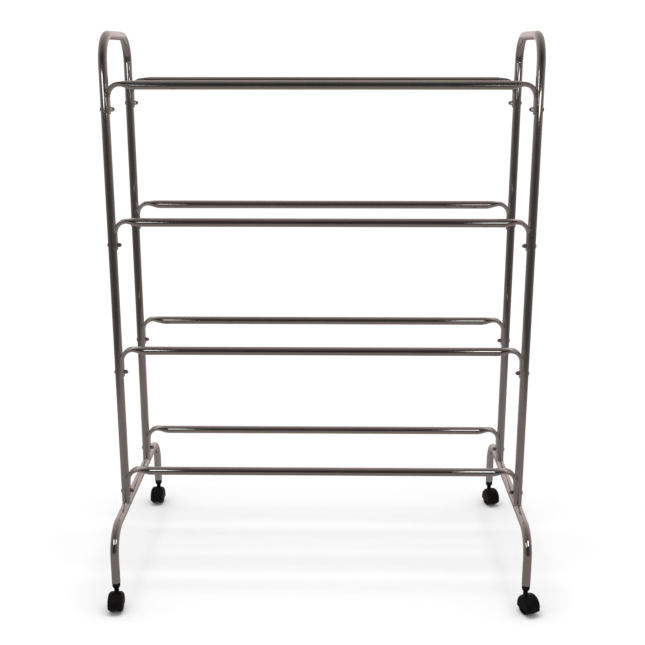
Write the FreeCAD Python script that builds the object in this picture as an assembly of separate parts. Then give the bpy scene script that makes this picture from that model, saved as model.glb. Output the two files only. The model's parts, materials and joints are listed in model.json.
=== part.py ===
"""Four-tier hanging file rack on casters, in millimetres.

Two chromed end frames, each an upside-down U of round tube welded onto a foot tube, are joined by
eight round rails.  The rails' ends are bent down, crushed to a saddle and bolted to the inner side of
the legs.  Four hooded twin-wheel casters plug into the foot tubes.

Frame: +X to the right, +Y to the back, +Z up.  The origin is on the floor, midway between the four
caster stems.
"""
import FreeCAD, Part
import math
import os

from FreeCAD import Placement, Rotation, Vector

# ---- Driving dimensions -------------------------------------------------------------------------
TUBE_RADIUS = 11.0            # every frame tube is 22 mm round tube
TUBE_WALL = 1.2

FRAME_SPACING = 1060.0        # between the centre planes of the two end frames
LEG_SPACING = 308.0           # front leg to rear leg, and front rail to rear rail
HOOP_TOP = 1441.0             # tube centre of the flat top of an end frame
HOOP_BEND_RADIUS = 70.0

FOOT_HEIGHT = 211.0           # tube centre of the level part of a foot tube
FOOT_SPACING = 652.0          # front caster stem to rear caster stem
FOOT_BEND_RADIUS = 68.0
STUB_END = 73.5               # lower end of the foot tubes' vertical ends

TIER_COUNT = 4
LOWEST_RAIL = 311.0           # tube centre of the lowest pair of rails
TIER_PITCH = 337.5

SADDLE_THICKNESS = 2.7        # the two tube walls, crushed together
SADDLE_HALF_ANGLE = 76.0      # how far the saddle wraps round the leg, to each side
SADDLE_BEND_RADIUS = 30.0
SADDLE_CLEARANCE = 0.35       # between the saddle and the leg
SADDLE_CORNER_RADIUS = 8.0
CRUSH_LENGTH = 30.0           # straight stretch in which the tube starts to flatten
CRUSH_LIFT = 2.5              # how far the half-crushed tube stands towards the outside of the bend
CRUSHED_IN_BEND = 0.75        # share of the bend after which the tube is fully crushed
CRUSH_STEPS = 5               # sections along that stretch
BEND_STEPS = 14               # sections round the bend
BOLT_DROP = 58.0              # from a rail's centre line down to its bolt
SADDLE_DROP = 70.0            # from a rail's centre line down to the saddle's end
CRUSHED_AT_END = 0.80         # share of the crush at which the hollow inside ends
RIM_START = 0.94              # share of the way round to a saddle's edge at which its rounded rim starts
TRIM_ALLOWANCE = 1.0          # the saddle's blank is this much too long

SCREW_RADIUS = 3.0            # M6
SCREW_HOLE_RADIUS = 3.3
HEAD_RADIUS = 6.0
HEAD_HEIGHT = 2.3
HEAD_SKIRT = 1.6              # the head's underside reaches this far round the tube
RECESS_WIDTH = 1.2
RECESS_LENGTH = 5.6
RECESS_DEPTH = 1.3
NUT_ACROSS_FLATS = 10.0
NUT_HEX_HEIGHT = 5.0
NUT_DOME_RADIUS = 4.75
NUT_BORE_RADIUS = 3.05
NUT_BORE_DEPTH = 7.6
NUT_SKIRT = 0.9
SCREW_END_GAP = 0.6           # between the screw's end and the bottom of the nut's bore

WELD_SIZE = 2.4

# Casters, each with its stem on the vertical axis of a foot tube's end.
WHEEL_RADIUS = 24.0
WHEEL_INNER_FACE = 3.6        # from the caster's middle plane
WHEEL_OUTER_FACE = 17.5
WHEEL_EDGE_RADIUS = 5.0
WHEEL_RECESS_DEPTH = 6.0
WHEEL_RECESS_INNER = 8.0
WHEEL_RECESS_OUTER = 17.5
WHEEL_BORE_RADIUS = 3.05
AXLE_RADIUS = 3.0
AXLE_HALF_LENGTH = 17.8
TRAIL = 15.0                  # from the stem's axis to the axle's

HOOD_RADIUS = 28.5
HOOD_HALF_WIDTH = 19.8
HOOD_EDGE_RADIUS = 10.0
HOOD_WALL = 1.8
HOOD_SKIRT_BOTTOM = 16.0
HOOD_WEB_HALF = 2.4
HOOD_AXLE_BOSS_HALF = 3.3
HOOD_AXLE_BOSS_RADIUS = 6.5
HOOD_BOSS_RADIUS = 6.3
HOOD_BOSS_TOP = 52.5
HOOD_BOSS_BOTTOM = 46.6

STEM_RADIUS = 4.0
STEM_BOTTOM = 45.0
STEM_TOP = 106.0
STEM_GROOVE_RADIUS = 3.2
RING_BOTTOM = 96.5
RING_HEIGHT = 3.0
RING_INNER_RADIUS = 3.3
RING_OUTER_RADIUS = 4.65
RING_SLOT = 1.2

SOCKET_RADIUS = 9.7           # the sleeve inside the tube
SOCKET_TOP = 112.0
SOCKET_BORE_RADIUS = 4.08
SOCKET_BORE_TOP = 109.0
SOCKET_GROOVE_RADIUS = 4.7
COLLAR_RADIUS = 10.3
COLLAR_SHOULDER = 66.5        # below this height the collar narrows
COLLAR_NECK_RADIUS = 6.2
COLLAR_NECK_TOP = 57.0
COLLAR_BOTTOM = 53.5

# Where each caster stands, and how far it is swung, anticlockwise from above, from trailing forward.
CASTER_SWIVEL = {"left_front": 3.0, "right_front": 26.0, "left_rear": -3.0, "right_rear": 18.0}

# ---- Worked-out dimensions ----------------------------------------------------------------------
HALF_FRAME = FRAME_SPACING / 2
HALF_LEG = LEG_SPACING / 2
HALF_FOOT = FOOT_SPACING / 2
BORE_RADIUS = TUBE_RADIUS - TUBE_WALL
SADDLE_INNER_RADIUS = TUBE_RADIUS + SADDLE_CLEARANCE
SADDLE_OUTER_RADIUS = SADDLE_INNER_RADIUS + SADDLE_THICKNESS
SADDLE_MID_RADIUS = SADDLE_INNER_RADIUS + SADDLE_THICKNESS / 2

AXIS_X = Vector(1, 0, 0)
AXIS_Y = Vector(0, 1, 0)
AXIS_Z = Vector(0, 0, 1)
ORIGIN = Vector(0, 0, 0)
SIDES = {"left": -1, "right": 1}
ENDS = {"front": -1, "rear": 1}


def tier_height(tier):
    """Height of a tier's rails; tier 1 is the top one."""
    return LOWEST_RAIL + (TIER_COUNT - tier) * TIER_PITCH


def export(name, shape):
    shape.exportStep("parts/" + name + ".step")


def moved(shape, offset):
    copy = shape.copy()
    copy.translate(offset)
    return copy


# ---- Bent tubes ---------------------------------------------------------------------------------
def bent_path(y_start, z_level, bend_radius, z_end):
    """A level run along Y at z_level whose two ends turn down and run straight to z_end."""
    y_bend = y_start - bend_radius
    z_bend = z_level - bend_radius
    middle = bend_radius * math.sqrt(0.5)
    front_arc = Part.Arc(
        Vector(0, -y_start, z_bend),
        Vector(0, -y_bend - middle, z_bend + middle),
        Vector(0, -y_bend, z_level),
    )
    rear_arc = Part.Arc(
        Vector(0, y_bend, z_level),
        Vector(0, y_bend + middle, z_bend + middle),
        Vector(0, y_start, z_bend),
    )
    return Part.Wire([
        Part.makeLine(Vector(0, -y_start, z_end), Vector(0, -y_start, z_bend)),
        front_arc.toShape(),
        Part.makeLine(Vector(0, -y_bend, z_level), Vector(0, y_bend, z_level)),
        rear_arc.toShape(),
        Part.makeLine(Vector(0, y_start, z_bend), Vector(0, y_start, z_end)),
    ])


def bent_rod(path, radius):
    start = path.Vertexes[0].Point
    profile = Part.Wire([Part.makeCircle(radius, start, AXIS_Z)])
    return path.makePipeShell([profile], True, False)


def bent_tube(path):
    return bent_rod(path, TUBE_RADIUS).cut(bent_rod(path, BORE_RADIUS))


def cross_rod(radius, length, y, z):
    """A round rod along X, centred on X = 0."""
    return Part.makeCylinder(radius, length, Vector(-length / 2, y, z), AXIS_X)


def foot_rod(radius):
    """A straight round rod on the level part of a foot tube."""
    return Part.makeCylinder(radius, FOOT_SPACING, Vector(0, -HALF_FOOT, FOOT_HEIGHT), AXIS_Y)


def hoop():
    """One end frame: legs coped to sit on the foot tube, and drilled for the rails' bolts."""
    cope_gap = 3.0
    path = bent_path(HALF_LEG, HOOP_TOP, HOOP_BEND_RADIUS, FOOT_HEIGHT + cope_gap)
    shape = bent_tube(path).cut(foot_rod(TUBE_RADIUS))
    holes = [
        cross_rod(SCREW_HOLE_RADIUS, 4 * TUBE_RADIUS, end * HALF_LEG, tier_height(tier) - BOLT_DROP)
        for tier in range(1, TIER_COUNT + 1)
        for end in ENDS.values()
    ]
    return shape.cut(Part.makeCompound(holes))


def foot_tube():
    return bent_tube(bent_path(HALF_FOOT, FOOT_HEIGHT, FOOT_BEND_RADIUS, STUB_END))


def weld_beads():
    """The two weld beads in the corner between an end frame's legs and its foot tube."""
    beads = []
    for end in ENDS.values():
        base = Vector(0, end * HALF_LEG, FOOT_HEIGHT + WELD_SIZE)
        collar = Part.makeCylinder(TUBE_RADIUS + WELD_SIZE, 2 * TUBE_RADIUS, base, AXIS_Z)
        leg = Part.makeCylinder(TUBE_RADIUS, 4 * TUBE_RADIUS, base - AXIS_Z * TUBE_RADIUS, AXIS_Z)
        bead = collar.common(foot_rod(TUBE_RADIUS + WELD_SIZE)).cut(foot_rod(TUBE_RADIUS)).cut(leg)
        beads.append(bead)
    return Part.makeCompound([solid for bead in beads for solid in bead.Solids])


# ---- Rails --------------------------------------------------------------------------------------
def crushed_wire(share, inset, origin, outward):
    """The tube's outline, crushed from round (share 0) to a saddle (share 1), lying across a rail.

    The wall on the outside of the bend is pushed in until it lies against the other one.  inset is
    the depth below the outer surface, and outward points away from the bend's centre.
    """
    count = 9
    origin = origin + outward * (4 * CRUSH_LIFT * share * (1 - share))
    saddle_centre = origin + outward * SADDLE_MID_RADIUS

    def point(turn, side, saddle_radius):
        round_angle = turn * math.pi / 2
        round_ray = AXIS_Y * math.sin(round_angle) + outward * side * math.cos(round_angle)
        round_point = origin + round_ray * (TUBE_RADIUS - inset)
        wrap = math.radians(turn * SADDLE_HALF_ANGLE)
        saddle_ray = AXIS_Y * math.sin(wrap) - outward * math.cos(wrap)
        saddle_point = saddle_centre + saddle_ray * saddle_radius
        return round_point * (1 - share) + saddle_point * share

    def wall(side, saddle_radius):
        """The points of one wall, between the rims: the pushed-in one (1) or the other (-1)."""
        turns = [side * RIM_START * (2 * step / (count - 1) - 1) for step in range(count)]
        return [point(turn, side, saddle_radius) for turn in turns]

    def spline(points):
        curve = Part.BSplineCurve()
        curve.interpolate(Points=points)
        return curve.toShape()

    pushed = wall(1, SADDLE_INNER_RADIUS + inset)
    still = wall(-1, SADDLE_OUTER_RADIUS - inset)
    rear_rim = Part.Arc(pushed[-1], point(1, 1, SADDLE_MID_RADIUS), still[0])
    front_rim = Part.Arc(still[-1], point(-1, 1, SADDLE_MID_RADIUS), pushed[0])
    return Part.Wire([spline(pushed), rear_rim.toShape(), spline(still), front_rim.toShape()])


def crush_share(distance):
    """How far the tube is crushed, at a distance along its centre line from where that starts."""
    full = CRUSH_LENGTH + CRUSHED_IN_BEND * SADDLE_BEND_RADIUS * math.pi / 2
    ratio = min(1.0, distance / full)
    return ratio * ratio * (3 - 2 * ratio)


def rail_stations():
    """Stations on the right end of a rail, from the round tube to the saddle's end.

    Each is the distance crushed so far, the centre line's point and the direction outward.
    """
    x_saddle = HALF_FRAME - SADDLE_MID_RADIUS
    x_bend = x_saddle - SADDLE_BEND_RADIUS
    stations = []
    for step in range(CRUSH_STEPS):
        distance = CRUSH_LENGTH * step / CRUSH_STEPS
        stations.append((distance, Vector(x_bend - CRUSH_LENGTH + distance, 0, 0), AXIS_Z))
    for step in range(BEND_STEPS + 1):
        angle = math.pi / 2 * step / BEND_STEPS
        outward = Vector(math.sin(angle), 0, math.cos(angle))
        point = Vector(x_bend, 0, -SADDLE_BEND_RADIUS) + outward * SADDLE_BEND_RADIUS
        stations.append((CRUSH_LENGTH + SADDLE_BEND_RADIUS * angle, point, outward))
    blank_drop = SADDLE_DROP + TRIM_ALLOWANCE
    blank_end = stations[-1][0] + blank_drop - SADDLE_BEND_RADIUS
    stations.append((blank_end, Vector(x_saddle, 0, -blank_drop), AXIS_X))
    return stations


def rail_core(inset, stations):
    """A rail's solid outline at a depth below its surface, both ends included."""
    wires = [
        crushed_wire(crush_share(distance), inset, point, outward)
        for distance, point, outward in stations
    ]
    right_end = Part.makeLoft(wires, True, True)
    left_end = right_end.mirror(ORIGIN, AXIS_X)
    half_length = stations[0][1].x
    middle = Part.Face(wires[0]).extrude(AXIS_X * (-2 * half_length))
    return middle.fuse([right_end, left_end])


def saddle_trim():
    """Everything to keep of a rail, with rounded corners at the saddles' ends."""
    half_width = 20.0
    edge = TUBE_RADIUS + SADDLE_THICKNESS
    corner = SADDLE_CORNER_RADIUS
    saddle_half = SADDLE_OUTER_RADIUS * math.sin(math.radians(SADDLE_HALF_ANGLE))
    keep = Part.makeBox(
        FRAME_SPACING, 2 * half_width, SADDLE_DROP + edge - corner,
        Vector(-HALF_FRAME, -half_width, corner - SADDLE_DROP),
    )
    middle = Part.makeBox(
        FRAME_SPACING, 2 * (saddle_half - corner), 2 * corner,
        Vector(-HALF_FRAME, corner - saddle_half, -SADDLE_DROP),
    )
    corners = [
        Part.makeCylinder(
            corner, FRAME_SPACING,
            Vector(-HALF_FRAME, side * (saddle_half - corner), corner - SADDLE_DROP), AXIS_X,
        )
        for side in (-1, 1)
    ]
    return keep.fuse([middle] + corners)


def rail():
    """One rail, its centre line on the X axis."""
    stations = rail_stations()
    hollow = [station for station in stations if crush_share(station[0]) <= CRUSHED_AT_END]
    shape = rail_core(0.0, stations).cut(rail_core(TUBE_WALL, hollow))
    shape = shape.common(saddle_trim())
    return shape.cut(cross_rod(SCREW_HOLE_RADIUS, 2 * FRAME_SPACING, 0, -BOLT_DROP))


# ---- Fasteners ----------------------------------------------------------------------------------
def leg_rod(radius):
    """A rod round the leg's axis, at the height of a bolt on the X axis."""
    return Part.makeCylinder(radius, 6 * TUBE_RADIUS, Vector(0, 0, -3 * TUBE_RADIUS), AXIS_Z)


def nut_base():
    return -SADDLE_OUTER_RADIUS


def nut_bottom():
    return nut_base() - NUT_BORE_DEPTH


def frame_screw():
    """A truss-head screw along X; the leg's axis is at X = 0 and the head is on the +X side."""
    end = nut_bottom() + SCREW_END_GAP
    shank = Part.makeCylinder(SCREW_RADIUS, TUBE_RADIUS - end, Vector(end, 0, 0), AXIS_X)
    skirt = Part.makeCylinder(HEAD_RADIUS, HEAD_SKIRT, Vector(TUBE_RADIUS - HEAD_SKIRT, 0, 0), AXIS_X)
    dome_radius = (HEAD_RADIUS ** 2 + HEAD_HEIGHT ** 2) / (2 * HEAD_HEIGHT)
    dome = Part.makeSphere(dome_radius, Vector(TUBE_RADIUS + HEAD_HEIGHT - dome_radius, 0, 0))
    cap = Part.makeCylinder(HEAD_RADIUS, HEAD_HEIGHT, Vector(TUBE_RADIUS, 0, 0), AXIS_X).common(dome)
    recess_start = TUBE_RADIUS + HEAD_HEIGHT - RECESS_DEPTH
    for width, height in ((RECESS_WIDTH, RECESS_LENGTH), (RECESS_LENGTH, RECESS_WIDTH)):
        cap = cap.cut(Part.makeBox(HEAD_HEIGHT, width, height, Vector(recess_start, -width / 2, -height / 2)))
    return shank.fuse([skirt.cut(leg_rod(TUBE_RADIUS + 0.02)), cap])


def cap_nut():
    """A domed nut on the saddle's side of the leg, facing -X."""
    corner_radius = NUT_ACROSS_FLATS / math.sqrt(3)
    hexagon = [
        Vector(0, corner_radius * math.sin(math.pi / 3 * step), corner_radius * math.cos(math.pi / 3 * step))
        for step in range(7)
    ]
    start = nut_base() - NUT_HEX_HEIGHT
    prism = Part.Face(Part.makePolygon(hexagon)).extrude(AXIS_X * (NUT_HEX_HEIGHT + NUT_SKIRT))
    prism = moved(prism, Vector(start, 0, 0)).cut(leg_rod(SADDLE_OUTER_RADIUS + 0.05))
    dome = Part.makeSphere(NUT_DOME_RADIUS, Vector(start, 0, 0))
    bore = Part.makeCylinder(NUT_BORE_RADIUS, 2 * NUT_BORE_DEPTH, Vector(nut_bottom(), 0, 0), AXIS_X)
    return prism.fuse(dome).cut(bore)


def on_every_joint(piece, side):
    """Copies of a fastener at all the rail ends on one side of the rack."""
    if side < 0:
        piece = piece.mirror(ORIGIN, AXIS_X)
    copies = [
        moved(piece, Vector(side * HALF_FRAME, end * HALF_LEG, tier_height(tier) - BOLT_DROP))
        for tier in range(1, TIER_COUNT + 1)
        for end in ENDS.values()
    ]
    return Part.makeCompound(copies)


# ---- Casters ------------------------------------------------------------------------------------
def turned(outline):
    """A solid turned about Z from the edges of a closed outline in the XZ plane."""
    return Part.Face(Part.Wire(outline)).revolve(ORIGIN, AXIS_Z, 360)


def outline_line(r_start, z_start, r_end, z_end):
    return Part.makeLine(Vector(r_start, 0, z_start), Vector(r_end, 0, z_end))


def upright_cylinder(radius, bottom, top):
    return Part.makeCylinder(radius, top - bottom, Vector(0, 0, bottom), AXIS_Z)


def socket():
    """The plastic plug pressed into a foot tube's end, with the collar that shows below it."""
    sleeve = upright_cylinder(SOCKET_RADIUS, STUB_END, SOCKET_TOP)
    drop = COLLAR_SHOULDER - COLLAR_NECK_TOP
    bulge = 0.9
    waist = Vector((COLLAR_RADIUS + COLLAR_NECK_RADIUS) / 2 + bulge, 0, COLLAR_NECK_TOP + drop * 0.38)
    taper = Part.Arc(
        Vector(COLLAR_RADIUS, 0, COLLAR_SHOULDER), waist, Vector(COLLAR_NECK_RADIUS, 0, COLLAR_NECK_TOP)
    )
    collar = turned([
        outline_line(0, STUB_END, COLLAR_RADIUS, STUB_END),
        outline_line(COLLAR_RADIUS, STUB_END, COLLAR_RADIUS, COLLAR_SHOULDER),
        taper.toShape(),
        outline_line(COLLAR_NECK_RADIUS, COLLAR_NECK_TOP, COLLAR_NECK_RADIUS, COLLAR_BOTTOM),
        outline_line(COLLAR_NECK_RADIUS, COLLAR_BOTTOM, 0, COLLAR_BOTTOM),
        outline_line(0, COLLAR_BOTTOM, 0, STUB_END),
    ])
    groove_margin = 0.5
    bore = upright_cylinder(SOCKET_BORE_RADIUS, COLLAR_BOTTOM, SOCKET_BORE_TOP)
    groove = upright_cylinder(
        SOCKET_GROOVE_RADIUS, RING_BOTTOM - groove_margin, RING_BOTTOM + RING_HEIGHT + groove_margin
    )
    return sleeve.fuse(collar).cut(bore.fuse(groove))


def grip_ring():
    """The split spring ring that holds the stem in its socket and lets it turn."""
    ring = upright_cylinder(RING_OUTER_RADIUS, RING_BOTTOM, RING_BOTTOM + RING_HEIGHT)
    ring = ring.cut(upright_cylinder(RING_INNER_RADIUS, RING_BOTTOM, RING_BOTTOM + RING_HEIGHT))
    slot = Part.makeBox(RING_OUTER_RADIUS, RING_SLOT, RING_HEIGHT, Vector(0, -RING_SLOT / 2, RING_BOTTOM))
    return ring.cut(slot)


def stem():
    groove_margin = 0.25
    shape = upright_cylinder(STEM_RADIUS, STEM_BOTTOM, STEM_TOP)
    shape = shape.makeChamfer(1.2, [shape.Edges[0]])
    groove_bottom = RING_BOTTOM - groove_margin
    groove_top = RING_BOTTOM + RING_HEIGHT + groove_margin
    groove = upright_cylinder(STEM_RADIUS + 1, groove_bottom, groove_top)
    return shape.cut(groove.cut(upright_cylinder(STEM_GROOVE_RADIUS, groove_bottom, groove_top)))


def hood_core(inset):
    """The hood's rounded body at a depth below its surface: half a drum over straight skirts."""
    radius = HOOD_RADIUS - inset
    half_width = HOOD_HALF_WIDTH - inset
    edge = HOOD_EDGE_RADIUS - inset
    flat_x = half_width - edge
    flat_y = radius - edge
    slant = edge * math.sqrt(0.5)
    right = Part.Arc(
        Vector(half_width, flat_y, 0), Vector(flat_x + slant, flat_y + slant, 0), Vector(flat_x, radius, 0)
    )
    left = Part.Arc(
        Vector(-flat_x, radius, 0), Vector(-flat_x - slant, flat_y + slant, 0), Vector(-half_width, flat_y, 0)
    )
    half_outline = Part.Wire([
        Part.makeLine(Vector(-half_width, 0, 0), Vector(half_width, 0, 0)),
        Part.makeLine(Vector(half_width, 0, 0), Vector(half_width, flat_y, 0)),
        right.toShape(),
        Part.makeLine(Vector(flat_x, radius, 0), Vector(-flat_x, radius, 0)),
        left.toShape(),
        Part.makeLine(Vector(-half_width, flat_y, 0), Vector(-half_width, 0, 0)),
    ])
    half_face = Part.Face(half_outline)
    drum = half_face.revolve(ORIGIN, AXIS_X, 180)
    depth = WHEEL_RADIUS - HOOD_SKIRT_BOTTOM
    near_skirt = half_face.extrude(AXIS_Z * -depth)
    far_skirt = near_skirt.mirror(ORIGIN, AXIS_Y)
    body = drum.fuse([near_skirt, far_skirt]).removeSplitter()
    return moved(body, Vector(0, -TRAIL, WHEEL_RADIUS))


def hood():
    """The moulded hood: a shell over both wheels, a web that holds the axle, and the stem's boss."""
    outside = hood_core(0.0)
    inside = hood_core(HOOD_WALL)
    reach = 2 * HOOD_RADIUS
    middle = Part.makeBox(2 * HOOD_WEB_HALF, 2 * reach, 2 * reach, Vector(-HOOD_WEB_HALF, -reach, 0))
    web = inside.common(middle)
    axle_boss = cross_rod(HOOD_AXLE_BOSS_RADIUS, 2 * HOOD_AXLE_BOSS_HALF, -TRAIL, WHEEL_RADIUS)
    stem_boss = upright_cylinder(HOOD_BOSS_RADIUS, HOOD_BOSS_BOTTOM, HOOD_BOSS_TOP)
    body = outside.cut(inside).fuse([web, axle_boss, stem_boss])
    body = body.cut(cross_rod(AXLE_RADIUS, 2 * HOOD_AXLE_BOSS_HALF + 2, -TRAIL, WHEEL_RADIUS))
    return body.cut(upright_cylinder(STEM_RADIUS, STEM_BOTTOM, HOOD_BOSS_TOP + 1))


def axle():
    return cross_rod(AXLE_RADIUS, 2 * AXLE_HALF_LENGTH, -TRAIL, WHEEL_RADIUS)


def wheel(side):
    """One wheel, to the left (-1) or right (1) of the caster's middle plane."""
    edge = WHEEL_EDGE_RADIUS
    slant = edge * math.sqrt(0.5)
    tread_end = WHEEL_OUTER_FACE - edge
    shoulder = Part.Arc(
        Vector(WHEEL_RADIUS, 0, tread_end),
        Vector(WHEEL_RADIUS - edge + slant, 0, tread_end + slant),
        Vector(WHEEL_RADIUS - edge, 0, WHEEL_OUTER_FACE),
    )
    chamfer = 1.0
    body = turned([
        outline_line(WHEEL_BORE_RADIUS, WHEEL_INNER_FACE, WHEEL_RADIUS - chamfer, WHEEL_INNER_FACE),
        outline_line(WHEEL_RADIUS - chamfer, WHEEL_INNER_FACE, WHEEL_RADIUS, WHEEL_INNER_FACE + chamfer),
        outline_line(WHEEL_RADIUS, WHEEL_INNER_FACE + chamfer, WHEEL_RADIUS, tread_end),
        shoulder.toShape(),
        outline_line(WHEEL_RADIUS - edge, WHEEL_OUTER_FACE, WHEEL_BORE_RADIUS, WHEEL_OUTER_FACE),
        outline_line(WHEEL_BORE_RADIUS, WHEEL_OUTER_FACE, WHEEL_BORE_RADIUS, WHEEL_INNER_FACE),
    ])
    recess_floor = WHEEL_OUTER_FACE - WHEEL_RECESS_DEPTH
    recess = upright_cylinder(WHEEL_RECESS_OUTER, recess_floor, WHEEL_OUTER_FACE)
    body = body.cut(recess.cut(upright_cylinder(WHEEL_RECESS_INNER, recess_floor, WHEEL_OUTER_FACE)))
    body.rotate(ORIGIN, AXIS_Y, side * 90)
    return moved(body, Vector(0, -TRAIL, WHEEL_RADIUS))


def caster_place(name):
    """Where a caster stands: its stem's axis on the foot tube's end, swung about that axis."""
    side, end = name.split("_")
    return Placement(
        Vector(SIDES[side] * HALF_FRAME, ENDS[end] * HALF_FOOT, 0), Rotation(AXIS_Z, CASTER_SWIVEL[name])
    )


def placed(shape, place):
    copy = shape.copy()
    copy.Placement = place.multiply(copy.Placement)
    return copy


# ---- The rack -----------------------------------------------------------------------------------
def make_end_frames():
    pieces = {"hoop": hoop(), "foot_tube": foot_tube(), "weld_beads": weld_beads()}
    for side, sign in SIDES.items():
        for piece, shape in pieces.items():
            export(side + "_" + piece, moved(shape, Vector(sign * HALF_FRAME, 0, 0)))


def make_rails():
    shape = rail()
    for tier in range(1, TIER_COUNT + 1):
        for end, sign in ENDS.items():
            place = Vector(0, sign * HALF_LEG, tier_height(tier))
            export("tier_%d_%s_rail" % (tier, end), moved(shape, place))


def make_fasteners():
    screw = frame_screw()
    nut = cap_nut()
    for side, sign in SIDES.items():
        export(side + "_frame_screws", on_every_joint(screw, sign))
        export(side + "_cap_nuts", on_every_joint(nut, sign))


def make_casters():
    pieces = {
        "socket": socket(),
        "grip_ring": grip_ring(),
        "stem": stem(),
        "hood": hood(),
        "axle": axle(),
        "wheel_left": wheel(-1),
        "wheel_right": wheel(1),
    }
    for name in CASTER_SWIVEL:
        place = caster_place(name)
        for piece, shape in pieces.items():
            export(name + "_caster_" + piece, placed(shape, place))


os.makedirs("parts", exist_ok=True)
make_end_frames()
make_rails()
make_fasteners()
make_casters()
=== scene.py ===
import json
import math

import bmesh
import bpy
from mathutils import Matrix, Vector


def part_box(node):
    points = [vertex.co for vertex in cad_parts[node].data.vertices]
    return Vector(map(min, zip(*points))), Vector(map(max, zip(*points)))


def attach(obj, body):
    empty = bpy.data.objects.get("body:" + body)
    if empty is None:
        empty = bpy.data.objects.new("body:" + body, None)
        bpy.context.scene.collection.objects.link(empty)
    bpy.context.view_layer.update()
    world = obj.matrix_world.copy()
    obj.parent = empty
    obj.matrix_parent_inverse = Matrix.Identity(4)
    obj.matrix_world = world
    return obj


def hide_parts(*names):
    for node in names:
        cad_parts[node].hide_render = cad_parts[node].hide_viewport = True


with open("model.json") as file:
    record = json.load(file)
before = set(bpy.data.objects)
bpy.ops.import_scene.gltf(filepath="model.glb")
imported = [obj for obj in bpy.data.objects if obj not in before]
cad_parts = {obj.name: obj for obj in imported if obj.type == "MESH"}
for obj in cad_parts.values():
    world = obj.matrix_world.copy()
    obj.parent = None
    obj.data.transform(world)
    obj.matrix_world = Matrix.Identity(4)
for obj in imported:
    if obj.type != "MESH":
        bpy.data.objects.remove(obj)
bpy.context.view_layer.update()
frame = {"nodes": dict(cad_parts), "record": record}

# ---- Dimensions shared with the CAD source, in metres ---------------------------------------------
TUBE_RADIUS = 0.0110
TUBE_BORE = 0.0098
HOOP_BEND = 0.070
FOOT_BEND = 0.068
STUB_END = 0.0735
SADDLE_INNER = 0.01135
SADDLE_OUTER = 0.01405
SADDLE_MID = (SADDLE_INNER + SADDLE_OUTER) / 2
SADDLE_HALF_ANGLE = math.radians(76)
SADDLE_BEND = 0.030
SADDLE_CORNER = 0.008
SADDLE_DROP = 0.070
CRUSH_LENGTH = 0.030
CRUSH_LIFT = 0.0025
CRUSHED_IN_BEND = 0.75

# ---- Details that only the looks have, in metres --------------------------------------------------
FLAT_SHARE = 0.82
END_ROUNDING = 0.0005
END_TAPER = 0.9
TUBE_SEGMENTS = 64
RAIL_SEGMENTS = 72
COPE_LENGTH = 0.030
COPE_DEPTH = 0.0003
RIM_ROUNDING = 0.0004
BORE_ROUNDING = 0.0003
BORE_SHOWN = 0.012
WELD_RADIUS = 0.001364
WELD_WANDER = 0.00012
WELD_RIPPLE = 0.00006
WELD_RIPPLES = 34

AXIS_X = Vector((1, 0, 0))
AXIS_Y = Vector((0, 1, 0))
AXIS_Z = Vector((0, 0, 1))
SIDES = ("left", "right")
ENDS = ("front", "rear")
TIERS = (1, 2, 3, 4)


def centre_of(node):
    low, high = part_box(node)
    return (low + high) / 2


def frame_x(side):
    return centre_of(side + "_foot_tube").x


HOOP_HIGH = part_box("left_hoop")[1]
FOOT_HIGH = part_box("left_foot_tube")[1]
LEG_Y = HOOP_HIGH.y - TUBE_RADIUS
HOOP_TOP = HOOP_HIGH.z - TUBE_RADIUS
FOOT_Y = FOOT_HIGH.y - TUBE_RADIUS
FOOT_Z = FOOT_HIGH.z - TUBE_RADIUS


# ---- Mesh helpers ---------------------------------------------------------------------------------
def new_object(name, mesh):
    made = bpy.data.objects.new(name, mesh)
    bpy.context.scene.collection.objects.link(made)
    return made


def fill_end(bm, ring, fill):
    """Closes a ring of vertices: a fan to its middle, or a strip between a flattened tube's two faces."""
    count = len(ring)
    if fill == "fan":
        middle = sum((v.co for v in ring), Vector()) / count
        tip = bm.verts.new(middle)
        for i in range(count):
            bm.faces.new((ring[i], ring[(i + 1) % count], tip))
    elif fill == "strip":
        half = count // 2
        for way in (1, -1):
            for i in range(count // 4):
                near, next_near = ring[way * i % count], ring[way * (i + 1) % count]
                far, next_far = ring[way * (half - i) % count], ring[way * (half - i - 1) % count]
                at_rim = next_near is next_far
                bm.faces.new((near, next_near, far) if at_rim else (near, next_near, next_far, far))


def skin(name, rings, lengths, around, fill=("fan", "fan"), sharp=math.radians(50)):
    """A closed skin through rings of points.  Its UV map runs in metres along and around the piece."""
    bm = bmesh.new()
    uv_layer = bm.loops.layers.uv.new("along")
    loops = [[bm.verts.new(p) for p in ring] for ring in rings]
    count = len(rings[0])
    for i in range(len(loops) - 1):
        for j in range(count):
            k = (j + 1) % count
            face = bm.faces.new((loops[i][j], loops[i][k], loops[i + 1][k], loops[i + 1][j]))
            spots = ((i, j), (i, j + 1), (i + 1, j + 1), (i + 1, j))
            for loop, (a, b) in zip(face.loops, spots):
                loop[uv_layer].uv = (lengths[a], b / count * around)
    fill_end(bm, loops[0], fill[0])
    fill_end(bm, loops[-1], fill[1])
    return finish_mesh(name, bm, sharp)


def finish_mesh(name, bm, sharp):
    bmesh.ops.recalc_face_normals(bm, faces=bm.faces)
    for face in bm.faces:
        face.smooth = True
    for edge in bm.edges:
        if len(edge.link_faces) == 2 and edge.calc_face_angle(0.0) > sharp:
            edge.smooth = False
    mesh = bpy.data.meshes.new(name)
    bm.to_mesh(mesh)
    bm.free()
    return new_object(name, mesh)


def running_lengths(points):
    lengths = [0.0]
    for a, b in zip(points, points[1:]):
        lengths.append(lengths[-1] + (b - a).length)
    return lengths


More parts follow.
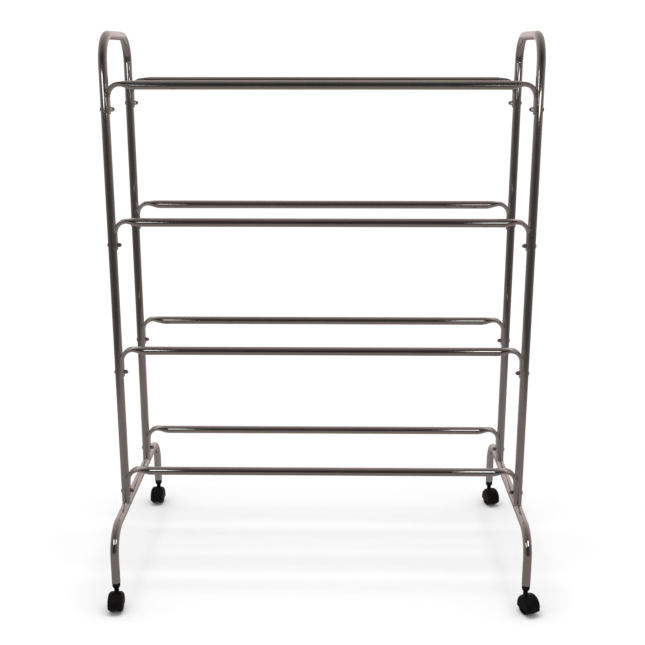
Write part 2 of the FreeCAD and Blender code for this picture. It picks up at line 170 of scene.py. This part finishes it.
# ---- End frames -----------------------------------------------------------------------------------
def arch_stations(x, y_start, z_level, bend, z_end, arc_steps=30):
    """Points along a tube that rises, bends over, runs level along Y and comes down again.

    Each comes with the direction that points away from the bends' centres.
    """
    y_bend = y_start - bend
    z_bend = z_level - bend
    quarter = []
    for step in range(arc_steps + 1):
        angle = math.pi / 2 * step / arc_steps
        outward = Vector((0, -math.cos(angle), math.sin(angle)))
        quarter.append((Vector((x, -y_bend, z_bend)) + outward * bend, outward))
    straight = [
        (Vector((x, -y_start, z_end + (z_bend - z_end) * t)), Vector((0, -1, 0))) for t in (0.0, 0.5)
    ]
    near = straight + quarter
    flip = Vector((1, -1, 1))
    far = [(point * flip, outward * flip) for point, outward in reversed(near)]
    return near + far


def round_ring(point, outward, radius):
    ring = []
    for i in range(TUBE_SEGMENTS):
        angle = 2 * math.pi * i / TUBE_SEGMENTS
        ring.append(point + (AXIS_X * math.sin(angle) + outward * math.cos(angle)) * radius)
    return ring


def hoop(side):
    """One end frame's arch, its legs coped to the foot tube."""
    x = frame_x(side)
    stations = arch_stations(x, LEG_Y, HOOP_TOP, HOOP_BEND, FOOT_Z + COPE_LENGTH)
    rings = [round_ring(point, outward, TUBE_RADIUS) for point, outward in stations]

    def coped(ring):
        drop = []
        for p in ring:
            reach = max(TUBE_RADIUS ** 2 - (p.x - x) ** 2, 0.0)
            drop.append(Vector((p.x, p.y, FOOT_Z - COPE_DEPTH + math.sqrt(reach))))
        return drop

    rings = [coped(rings[0])] + rings + [coped(rings[-1])]
    points = [station[0] for station in stations]
    points = [points[0] - AXIS_Z * COPE_LENGTH] + points + [points[-1] - AXIS_Z * COPE_LENGTH]
    piece = skin(side + "_hoop_tube", rings, running_lengths(points), 2 * math.pi * TUBE_RADIUS)
    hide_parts(side + "_hoop")
    return piece


def foot_tube(side):
    """One foot tube, with its wall showing at both open ends."""
    x = frame_x(side)
    stations = arch_stations(x, FOOT_Y, FOOT_Z, FOOT_BEND, STUB_END + RIM_ROUNDING)
    rings = [round_ring(point, outward, TUBE_RADIUS) for point, outward in stations]
    points = [station[0] for station in stations]

    def rim(station):
        point, outward = station
        lip = point - AXIS_Z * RIM_ROUNDING
        bore_edge = lip + AXIS_Z * BORE_ROUNDING
        plug = lip + AXIS_Z * BORE_SHOWN
        return [
            (plug, round_ring(plug, outward, TUBE_BORE)),
            (bore_edge, round_ring(bore_edge, outward, TUBE_BORE)),
            (lip, round_ring(lip, outward, TUBE_BORE + BORE_ROUNDING)),
            (lip, round_ring(lip, outward, TUBE_RADIUS - RIM_ROUNDING)),
        ]

    start, end = rim(stations[0]), rim(stations[-1])
    rings = [ring for _, ring in start] + rings + [ring for _, ring in reversed(end)]
    points = [point for point, _ in start] + points + [point for point, _ in reversed(end)]
    lengths = running_lengths(points)
    around = 2 * math.pi * TUBE_RADIUS
    piece = skin(side + "_foot_bend", rings, lengths, around, sharp=math.radians(30))
    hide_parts(side + "_foot_tube")
    return piece


def weld_beads(side):
    """Rippled fillet welds that follow the legs' feet round the foot tube."""
    x = frame_x(side)
    bm = bmesh.new()
    around, across = 9 * WELD_RIPPLES, 16
    lowest = 0.0018
    for end in (-1, 1):
        rings = []
        for i in range(around):
            angle = 2 * math.pi * i / around
            ray = Vector((math.sin(angle), math.cos(angle), 0))
            climb = math.hypot(TUBE_RADIUS * math.cos(angle), lowest)
            spot = Vector((x, end * LEG_Y, FOOT_Z + climb)) + ray * TUBE_RADIUS
            wander = WELD_WANDER * (math.sin(5 * angle + end) + 2 / 3 * math.sin(11 * angle))
            size = WELD_RADIUS + wander + WELD_RIPPLE * math.sin(WELD_RIPPLES * angle)
            middle = spot + (ray + AXIS_Z) * (WELD_WANDER - abs(wander))
            ring = []
            for j in range(across):
                turn = 2 * math.pi * j / across
                ring.append(bm.verts.new(middle + (ray * math.cos(turn) + AXIS_Z * math.sin(turn)) * size))
            rings.append(ring)
        for i in range(around):
            near, far = rings[i], rings[(i + 1) % around]
            for j in range(across):
                k = (j + 1) % across
                bm.faces.new((near[j], near[k], far[k], far[j]))
    piece = finish_mesh(side + "_leg_welds", bm, math.radians(80))
    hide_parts(side + "_weld_beads")
    return piece


# ---- Rails ----------------------------------------------------------------------------------------
def crush_share(distance):
    full = CRUSH_LENGTH + CRUSHED_IN_BEND * SADDLE_BEND * math.pi / 2
    ratio = min(1.0, distance / full)
    return ratio * ratio * (3 - 2 * ratio)


def crushed_ring(share, origin, outward, from_end):
    """The tube's outline, from round (share 0) to a saddle with rounded rims (share 1).

    from_end is the distance left to the saddle's end, where its corners are rounded off.
    """
    origin = origin + outward * (4 * CRUSH_LIFT * share * (1 - share))
    saddle_centre = origin + outward * SADDLE_MID
    half_angle = SADDLE_HALF_ANGLE
    if from_end < SADDLE_CORNER:
        half_width = SADDLE_OUTER * math.sin(SADDLE_HALF_ANGLE)
        inset = SADDLE_CORNER - math.sqrt(SADDLE_CORNER ** 2 - (SADDLE_CORNER - from_end) ** 2)
        half_angle = math.asin((half_width - inset) / SADDLE_OUTER)
    half_thickness = (SADDLE_OUTER - SADDLE_INNER) / 2 - max(0.0, END_ROUNDING - from_end) * END_TAPER
    flat_angle = half_angle - half_thickness / SADDLE_MID
    ring = []
    for i in range(RAIL_SEGMENTS):
        angle = 2 * math.pi * i / RAIL_SEGMENTS
        lateral, depth = math.sin(angle), math.cos(angle)
        round_point = origin + (AXIS_Y * lateral + outward * depth) * TUBE_RADIUS
        reach = abs(math.asin(max(-1.0, min(1.0, lateral)))) / (math.pi / 2)
        rim = max(0.0, reach - FLAT_SHARE) / (1 - FLAT_SHARE) * math.pi / 2
        wrap = min(reach / FLAT_SHARE, 1.0) * flat_angle + math.sin(rim) * half_thickness / SADDLE_MID
        wrap = math.copysign(wrap, lateral)
        radius = SADDLE_MID - math.copysign(half_thickness * math.cos(rim), depth)
        saddle_point = saddle_centre + (AXIS_Y * math.sin(wrap) - outward * math.cos(wrap)) * radius
        ring.append(round_point.lerp(saddle_point, share))
    return ring


def rail_stations(x_saddle):
    """Stations from a rail's middle to its right end.

    Each has the distance along the crushed stretch, the point, the way out of the bend and the distance left.
    """
    x_bend = x_saddle - SADDLE_BEND
    far_off = 1.0
    stations = [(0.0, Vector((x, 0, 0)), AXIS_Z, far_off) for x in (0.0, x_bend - 2 * CRUSH_LENGTH)]
    crush_steps, bend_steps = 12, 30
    for step in range(crush_steps + 1):
        distance = CRUSH_LENGTH * step / crush_steps
        stations.append((distance, Vector((x_bend - CRUSH_LENGTH + distance, 0, 0)), AXIS_Z, far_off))
    for step in range(1, bend_steps + 1):
        angle = math.pi / 2 * step / bend_steps
        outward = Vector((math.sin(angle), 0, math.cos(angle)))
        point = Vector((x_bend, 0, -SADDLE_BEND)) + outward * SADDLE_BEND
        stations.append((CRUSH_LENGTH + SADDLE_BEND * angle, point, outward, far_off))
    straight = SADDLE_DROP - SADDLE_BEND
    lefts = [straight * 0.6, SADDLE_CORNER, 0.0065, 0.005, 0.0037, 0.0026, 0.0017, 0.001, 0.0005, 0.0002, 0.0]
    for left in lefts:
        point = Vector((x_saddle, 0, left - SADDLE_DROP))
        stations.append((CRUSH_LENGTH + SADDLE_BEND * math.pi / 2 + straight, point, AXIS_X, left))
    return stations


def rail(tier, end):
    node = "tier_%d_%s_rail" % (tier, end)
    low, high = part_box(node)
    x_saddle = frame_x("right") - SADDLE_MID
    place = Vector((0, (low.y + high.y) / 2, low.z + SADDLE_DROP))
    right = [
        (crushed_ring(crush_share(gone), point, outward, left), point)
        for gone, point, outward, left in rail_stations(x_saddle)
    ]
    flip = Vector((-1, 1, 1))
    left = [([p * flip for p in ring], point * flip) for ring, point in reversed(right[1:])]
    both = left + right
    rings = [[p + place for p in ring] for ring, _ in both]
    lengths = running_lengths([point for _, point in both])
    piece = skin(node + "_tube", rings, lengths, 2 * math.pi * TUBE_RADIUS, fill=("strip", "strip"))
    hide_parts(node)
    return piece


# ---- Material helpers -----------------------------------------------------------------------------
class NodeTree:
    """Short calls for building a node tree."""

    def __init__(self, tree):
        self.tree = tree

    def add(self, kind, **settings):
        node = self.tree.nodes.new(kind)
        for key, value in settings.items():
            setattr(node, key, value)
        return node

    def link(self, a, b):
        self.tree.links.new(a, b)

    def feed(self, sockets, values):
        """Sets each socket to its value, or links it where the value is another node's output."""
        for socket, value in zip(sockets, values):
            if isinstance(value, (int, float, tuple)):
                socket.default_value = value
            else:
                self.link(value, socket)

    def math(self, operation, *values):
        node = self.add("ShaderNodeMath", operation=operation)
        self.feed(node.inputs, values)
        return node.outputs["Value"]

    def blend(self, factor, first, second):
        node = self.add("ShaderNodeMix", data_type="RGBA")
        self.link(factor, node.inputs["Factor"])
        self.feed([socket for socket in node.inputs if socket.type == "RGBA"], (first, second))
        return [socket for socket in node.outputs if socket.type == "RGBA"][0]

    def apart(self, vector):
        """The X, Y and Z of a vector."""
        node = self.add("ShaderNodeSeparateXYZ")
        self.link(vector, node.inputs["Vector"])
        return [node.outputs[axis] for axis in "XYZ"]

    def place(self, kind):
        return self.add("ShaderNodeTexCoord").outputs[kind]


class Finish(NodeTree):
    """A material, with short calls for its patterns."""

    def __init__(self, name):
        self.material = bpy.data.materials.new(name)
        self.material.use_nodes = True
        super().__init__(self.material.node_tree)
        self.shader = self.tree.nodes["Principled BSDF"]

    def set(self, **values):
        for key, value in values.items():
            self.shader.inputs[key.replace("_", " ")].default_value = value

    def coordinates(self, kind, scale):
        mapping = self.add("ShaderNodeMapping")
        mapping.inputs["Scale"].default_value = scale
        source = self.tube_vector() if kind == "Tube" else self.place(kind)
        self.link(source, mapping.inputs["Vector"])
        return mapping.outputs["Vector"]

    def tube_vector(self):
        """The UV map, in metres along and around a tube, rolled up so that it has no seam."""
        along, around, _ = self.apart(self.place("UV"))
        turn = self.math("DIVIDE", around, TUBE_RADIUS)
        rolled = self.add("ShaderNodeCombineXYZ")
        self.link(along, rolled.inputs["X"])
        self.link(self.math("MULTIPLY", self.math("COSINE", turn), TUBE_RADIUS), rolled.inputs["Y"])
        self.link(self.math("MULTIPLY", self.math("SINE", turn), TUBE_RADIUS), rolled.inputs["Z"])
        return rolled.outputs["Vector"]

    def noise(self, vector, scale, detail=3.0, roughness=0.5, distortion=0.0):
        node = self.add("ShaderNodeTexNoise")
        node.inputs["Scale"].default_value = scale
        node.inputs["Detail"].default_value = detail
        node.inputs["Roughness"].default_value = roughness
        node.inputs["Distortion"].default_value = distortion
        self.link(vector, node.inputs["Vector"])
        return node.outputs["Fac"]

    def remap(self, value, low, high, to_low, to_high):
        node = self.add("ShaderNodeMapRange")
        node.inputs["From Min"].default_value = low
        node.inputs["From Max"].default_value = high
        node.inputs["To Min"].default_value = to_low
        node.inputs["To Max"].default_value = to_high
        self.link(value, node.inputs["Value"])
        return node.outputs["Result"]

    def bump(self, height, strength, distance):
        node = self.add("ShaderNodeBump")
        node.inputs["Strength"].default_value = strength
        node.inputs["Distance"].default_value = distance
        self.link(height, node.inputs["Height"])
        self.link(node.outputs["Normal"], self.shader.inputs["Normal"])


def chrome(name, tint, darkest, polish, coordinates, stretch, waves):
    """Bright chrome plate: slow waves in the tube, hazy patches, faint drawing lines and sparse dust."""
    m = Finish(name)
    m.set(Metallic=1.0)
    body = m.coordinates("Object", (1, 1, 1))
    drawn = m.coordinates(coordinates, stretch)
    waved = m.noise(m.coordinates(coordinates, waves), 1.0, detail=1.0)
    haze = m.noise(body, 9.0, detail=4.0, distortion=0.6)
    smear = m.noise(body, 55.0, detail=3.0)
    lines = m.noise(drawn, 1.0, detail=2.0)
    dust = m.noise(body, 900.0, detail=1.0)
    patchy = m.math("ADD", m.math("MULTIPLY", haze, 0.7), m.math("MULTIPLY", smear, 0.3))
    specks = m.remap(dust, 0.72, 0.82, 0.0, 0.22)
    plate = m.blend(m.remap(patchy, 0.35, 0.65, 0.0, 1.0), darkest, tint)
    m.link(m.blend(specks, plate, (0.50, 0.49, 0.47, 1)), m.shader.inputs["Base Color"])
    rough = m.math("ADD", m.remap(patchy, 0.3, 0.7, polish, polish + 0.04), m.math("MULTIPLY", specks, 0.25))
    rough = m.math("ADD", rough, m.remap(lines, 0.35, 0.65, 0.0, 0.03))
    m.link(rough, m.shader.inputs["Roughness"])
    m.bump(m.math("ADD", m.math("MULTIPLY", waved, 0.9), m.math("MULTIPLY", lines, 0.004)), 1.0, 0.00009)
    return m.material


def steel(name):
    """Turned steel, ringed by the tool."""
    m = Finish(name)
    m.set(Metallic=1.0)
    turned = m.coordinates("Object", (60, 60, 4000))
    rings = m.noise(turned, 1.0, detail=2.0)
    body = m.coordinates("Object", (1, 1, 1))
    stain = m.noise(body, 140.0)
    m.link(m.blend(stain, (0.42, 0.42, 0.42, 1), (0.60, 0.60, 0.61, 1)), m.shader.inputs["Base Color"])
    m.link(m.remap(rings, 0.3, 0.7, 0.24, 0.36), m.shader.inputs["Roughness"])
    m.bump(rings, 0.25, 0.00004)
    return m.material


def plastic(name, dark, light, rough_low, rough_high, grain_scale, grain_depth, worn):
    """Moulded black plastic: fine grain with scuffs, slow colour drift and pale wear on the edges."""
    m = Finish(name)
    m.set(Specular_IOR_Level=0.2)
    body = m.coordinates("Object", (1, 1, 1))
    drift = m.noise(body, 60.0, detail=4.0)
    grain = m.noise(body, grain_scale, detail=2.0, roughness=0.6)
    scuff = m.noise(m.coordinates("Object", (1, 1, 2.5)), 420.0, detail=4.0, distortion=0.8)
    edge = m.add("ShaderNodeNewGeometry").outputs["Pointiness"]
    rubbed = m.math("MULTIPLY", m.remap(edge, 0.53, 0.60, 0.0, 1.0), m.remap(scuff, 0.45, 0.62, 0.0, 1.0))
    base = m.blend(m.remap(drift, 0.35, 0.65, 0.0, 1.0), dark, light)
    m.link(m.blend(m.math("MULTIPLY", rubbed, 0.3), base, worn), m.shader.inputs["Base Color"])
    rough = m.math("ADD", m.remap(drift, 0.3, 0.7, rough_low, rough_high), m.math("MULTIPLY", rubbed, 0.15))
    m.link(rough, m.shader.inputs["Roughness"])
    m.bump(m.math("ADD", grain, m.math("MULTIPLY", scuff, 0.25)), 0.5, grain_depth)
    return m.material


TUBE_CHROME = chrome(
    "tube_chrome", (0.66, 0.645, 0.63, 1), (0.60, 0.585, 0.57, 1), 0.03, "Tube", (14, 2600, 2600),
    (14, 40, 40)
)
FASTENER_CHROME = chrome(
    "fastener_chrome", (0.52, 0.50, 0.47, 1), (0.42, 0.40, 0.37, 1), 0.16, "Object", (500, 500, 500),
    (90, 90, 90)
)
PIN_STEEL = steel("turned_steel")
SOCKET_PLASTIC = plastic(
    "socket_plastic", (0.0028, 0.0028, 0.0028, 1), (0.0045, 0.0045, 0.0045, 1), 0.24, 0.34, 2600.0, 0.00002,
    (0.020, 0.020, 0.020, 1)
)
HOOD_PLASTIC = plastic(
    "hood_plastic", (0.0022, 0.0020, 0.0019, 1), (0.0044, 0.0040, 0.0036, 1), 0.36, 0.50, 2100.0, 0.00006,
    (0.024, 0.021, 0.018, 1)
)
WHEEL_NYLON = plastic(
    "wheel_nylon", (0.0024, 0.0024, 0.0024, 1), (0.0052, 0.0051, 0.0049, 1), 0.40, 0.58, 1500.0, 0.00003,
    (0.028, 0.027, 0.025, 1)
)
BY_SLOT = {
    "chromed_tube": TUBE_CHROME,
    "plated_fasteners": FASTENER_CHROME,
    "pin_steel": PIN_STEEL,
    "socket_plastic": SOCKET_PLASTIC,
    "hood_plastic": HOOD_PLASTIC,
    "wheel_nylon": WHEEL_NYLON,
}


def paint(piece, material):
    piece.data.materials.clear()
    piece.data.materials.append(material)


# ---- The rack -------------------------------------------------------------------------------------
for part in frame["record"]["subparts"]:
    paint(frame["nodes"][part["node"]], BY_SLOT[part["material_slot"]])

tubes = [make(side) for side in SIDES for make in (hoop, foot_tube, weld_beads)]
tubes += [rail(tier, end) for tier in TIERS for end in ENDS]
for piece in tubes:
    paint(piece, TUBE_CHROME)
    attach(piece, "frame")


# ---- Studio ---------------------------------------------------------------------------------------
WARM = (1.10, 0.935, 0.89)
# What mirrors see, as radiance: dark on the camera's side, light behind the rack.
NEAR_FLOOR_TONES = (0.20, 0.40)
FAR_FLOOR_TONES = (0.05, 0.40)
LEVEL_TONES = (0.05, 0.80)
UPPER_TONES = (0.02, 0.80)
# Where one tone gives way to the next: by distance from the rack on the floor, by the ray's height at the
# horizon, and by how steeply the ray climbs.
GLOWING_FLOOR = (1.0, 1.8)
FAR_FLOOR = (1.5, 2.6)
HORIZON = (-0.14, -0.02)
OVERHEAD = (0.03, 0.45)
FLOOR_SIZE = 4.0
WHITE = 1.05
SOFT_WHITE = 0.75


class Studio(NodeTree):
    """Short calls for the node trees of the floor and the world."""

    def tones(self, angle, dark, light):
        """A warm grey, from dark to light with the square of the angle from the camera's side."""
        behind = self.math("POWER", self.math("DIVIDE", angle, math.pi), 2.0)
        ramp = self.add("ShaderNodeValToRGB")
        self.link(behind, ramp.inputs["Fac"])
        for stop, tone in zip(ramp.color_ramp.elements, (dark, light)):
            stop.color = (tone * WARM[0], tone * WARM[1], tone * WARM[2], 1)
        return ramp.outputs["Color"]

    def square(self, value):
        return self.math("MULTIPLY", value, value)

    def smooth(self, value, low, high):
        node = self.add("ShaderNodeMapRange", interpolation_type="SMOOTHSTEP")
        node.inputs["From Min"].default_value = low
        node.inputs["From Max"].default_value = high
        self.link(value, node.inputs["Value"])
        return node.outputs["Result"]

    def mix_shaders(self, factor, first, second):
        node = self.add("ShaderNodeMixShader")
        self.link(factor, node.inputs["Fac"])
        self.link(first, node.inputs[1])
        self.link(second, node.inputs[2])
        return node.outputs["Shader"]

    def glow(self, kind, strength, colour=(1, 1, 1, 1)):
        node = self.add(kind)
        node.inputs["Strength"].default_value = strength
        self.feed([node.inputs["Color"]], [colour])
        return node.outputs[0]

    def rays(self, kind):
        return self.add("ShaderNodeLightPath").outputs[kind]


def studio_floor():
    """A white floor that takes soft shadows near the rack; mirrors see it toned."""
    bm = bmesh.new()
    bmesh.ops.create_grid(bm, x_segments=8, y_segments=8, size=FLOOR_SIZE)
    mesh = bpy.data.meshes.new("studio_floor")
    bm.to_mesh(mesh)
    bm.free()
    floor = new_object("studio_floor", mesh)
    material = bpy.data.materials.new("studio_floor")
    material.use_nodes = True
    studio = Studio(material.node_tree)
    matt = material.node_tree.nodes["Principled BSDF"]
    matt.inputs["Base Color"].default_value = (0.90, 0.90, 0.90, 1)
    matt.inputs["Roughness"].default_value = 0.9
    matt.inputs["Specular IOR Level"].default_value = 0.0
    x, y, _ = studio.apart(studio.place("Object"))
    radius = studio.math("POWER", studio.math("ADD", studio.square(x), studio.square(y)), 0.5)
    # Rounded off at x = 0, where the tones turn round: a kink there shows as a line in the tubes.
    aside = studio.math("POWER", studio.math("ADD", studio.square(x), 0.01), 0.5)
    angle = studio.math("ARCTAN2", aside, studio.math("MULTIPLY", y, -1.0))
    near = studio.tones(angle, *NEAR_FLOOR_TONES)
    far = studio.tones(angle, *FAR_FLOOR_TONES)
    toned = studio.blend(studio.smooth(radius, *FAR_FLOOR), near, far)
    white = studio.glow("ShaderNodeEmission", WHITE)
    seen = studio.mix_shaders(studio.smooth(radius, *GLOWING_FLOOR), matt.outputs["BSDF"], white)
    mirrored = studio.glow("ShaderNodeEmission", 1.0, toned)
    shader = studio.mix_shaders(studio.rays("Is Glossy Ray"), seen, mirrored)
    studio.link(shader, material.node_tree.nodes["Material Output"].inputs["Surface"])
    mesh.materials.append(material)


def studio_world():
    """White for the camera, soft white light on matt surfaces, and a toned studio in mirrors."""
    world = bpy.data.worlds.new("studio")
    bpy.context.scene.world = world
    world.use_nodes = True
    world.node_tree.nodes.clear()
    studio = Studio(world.node_tree)
    x, y, z = studio.apart(studio.place("Generated"))
    angle = studio.math("ARCCOSINE", studio.math("MULTIPLY", y, -0.99))
    rise = studio.square(studio.math("MAXIMUM", z, 0.0))
    across = studio.math("ADD", studio.square(x), studio.math("ADD", rise, 1e-4))
    far = studio.tones(angle, *FAR_FLOOR_TONES)
    level = studio.tones(angle, *LEVEL_TONES)
    upper = studio.tones(angle, *UPPER_TONES)
    low = studio.blend(studio.smooth(z, *HORIZON), far, level)
    overhead = studio.smooth(studio.math("DIVIDE", rise, across), *OVERHEAD)
    toned = studio.blend(overhead, low, upper)
    mirrored = studio.glow("ShaderNodeBackground", 1.0, toned)
    soft = studio.glow("ShaderNodeBackground", SOFT_WHITE)
    white = studio.glow("ShaderNodeBackground", WHITE)
    lit = studio.mix_shaders(studio.rays("Is Glossy Ray"), soft, mirrored)
    seen = studio.mix_shaders(studio.rays("Is Camera Ray"), lit, white)
    studio.link(seen, studio.add("ShaderNodeOutputWorld").inputs["Surface"])


def area_light(name, place, aim, size, radiance, mirrored):
    """A rectangular light; one that mirrors see lights nothing else."""
    light = bpy.data.lights.new(name, "AREA")
    light.shape = "RECTANGLE"
    light.size, light.size_y = size
    light.energy = radiance * math.pi * size[0] * size[1]
    lamp = bpy.data.objects.new(name, light)
    bpy.context.scene.collection.objects.link(lamp)
    lamp.location = place
    lamp.rotation_euler = (Vector(aim) - Vector(place)).to_track_quat("-Z", "Y").to_euler()
    lamp.visible_camera = False
    lamp.visible_glossy = mirrored
    lamp.visible_diffuse = not mirrored


studio_world()
studio_floor()
area_light("overhead_softbox", (0.0, -0.2, 3.2), (0, 0, 0), (2.4, 2.0), 3.8, False)
area_light("catch_light_left", (-1.03, -1.75, 1.28), (-1.03, -1.65, 0.78), (0.66, 0.80), 2.2, True)
area_light("catch_light_right", (0.94, -1.50, 1.23), (0.94, -1.42, 0.73), (0.74, 0.74), 2.2, True)


# ---- Camera ---------------------------------------------------------------------------------------
camera = bpy.data.objects.new("camera", bpy.data.cameras.new("camera"))
bpy.context.scene.collection.objects.link(camera)
camera.data.sensor_width = 36.0
camera.data.lens = 56.756
camera.data.clip_start = 0.05
camera.data.clip_end = 100.0
camera.location = (0.0348, -2.6890, 1.4110)
camera.rotation_euler = (math.radians(90 - 15.118), 0.0, math.radians(0.722))
bpy.context.scene.camera = camera
bpy.context.scene.view_settings.view_transform = "Standard"
bpy.context.scene.view_settings.look = "None"
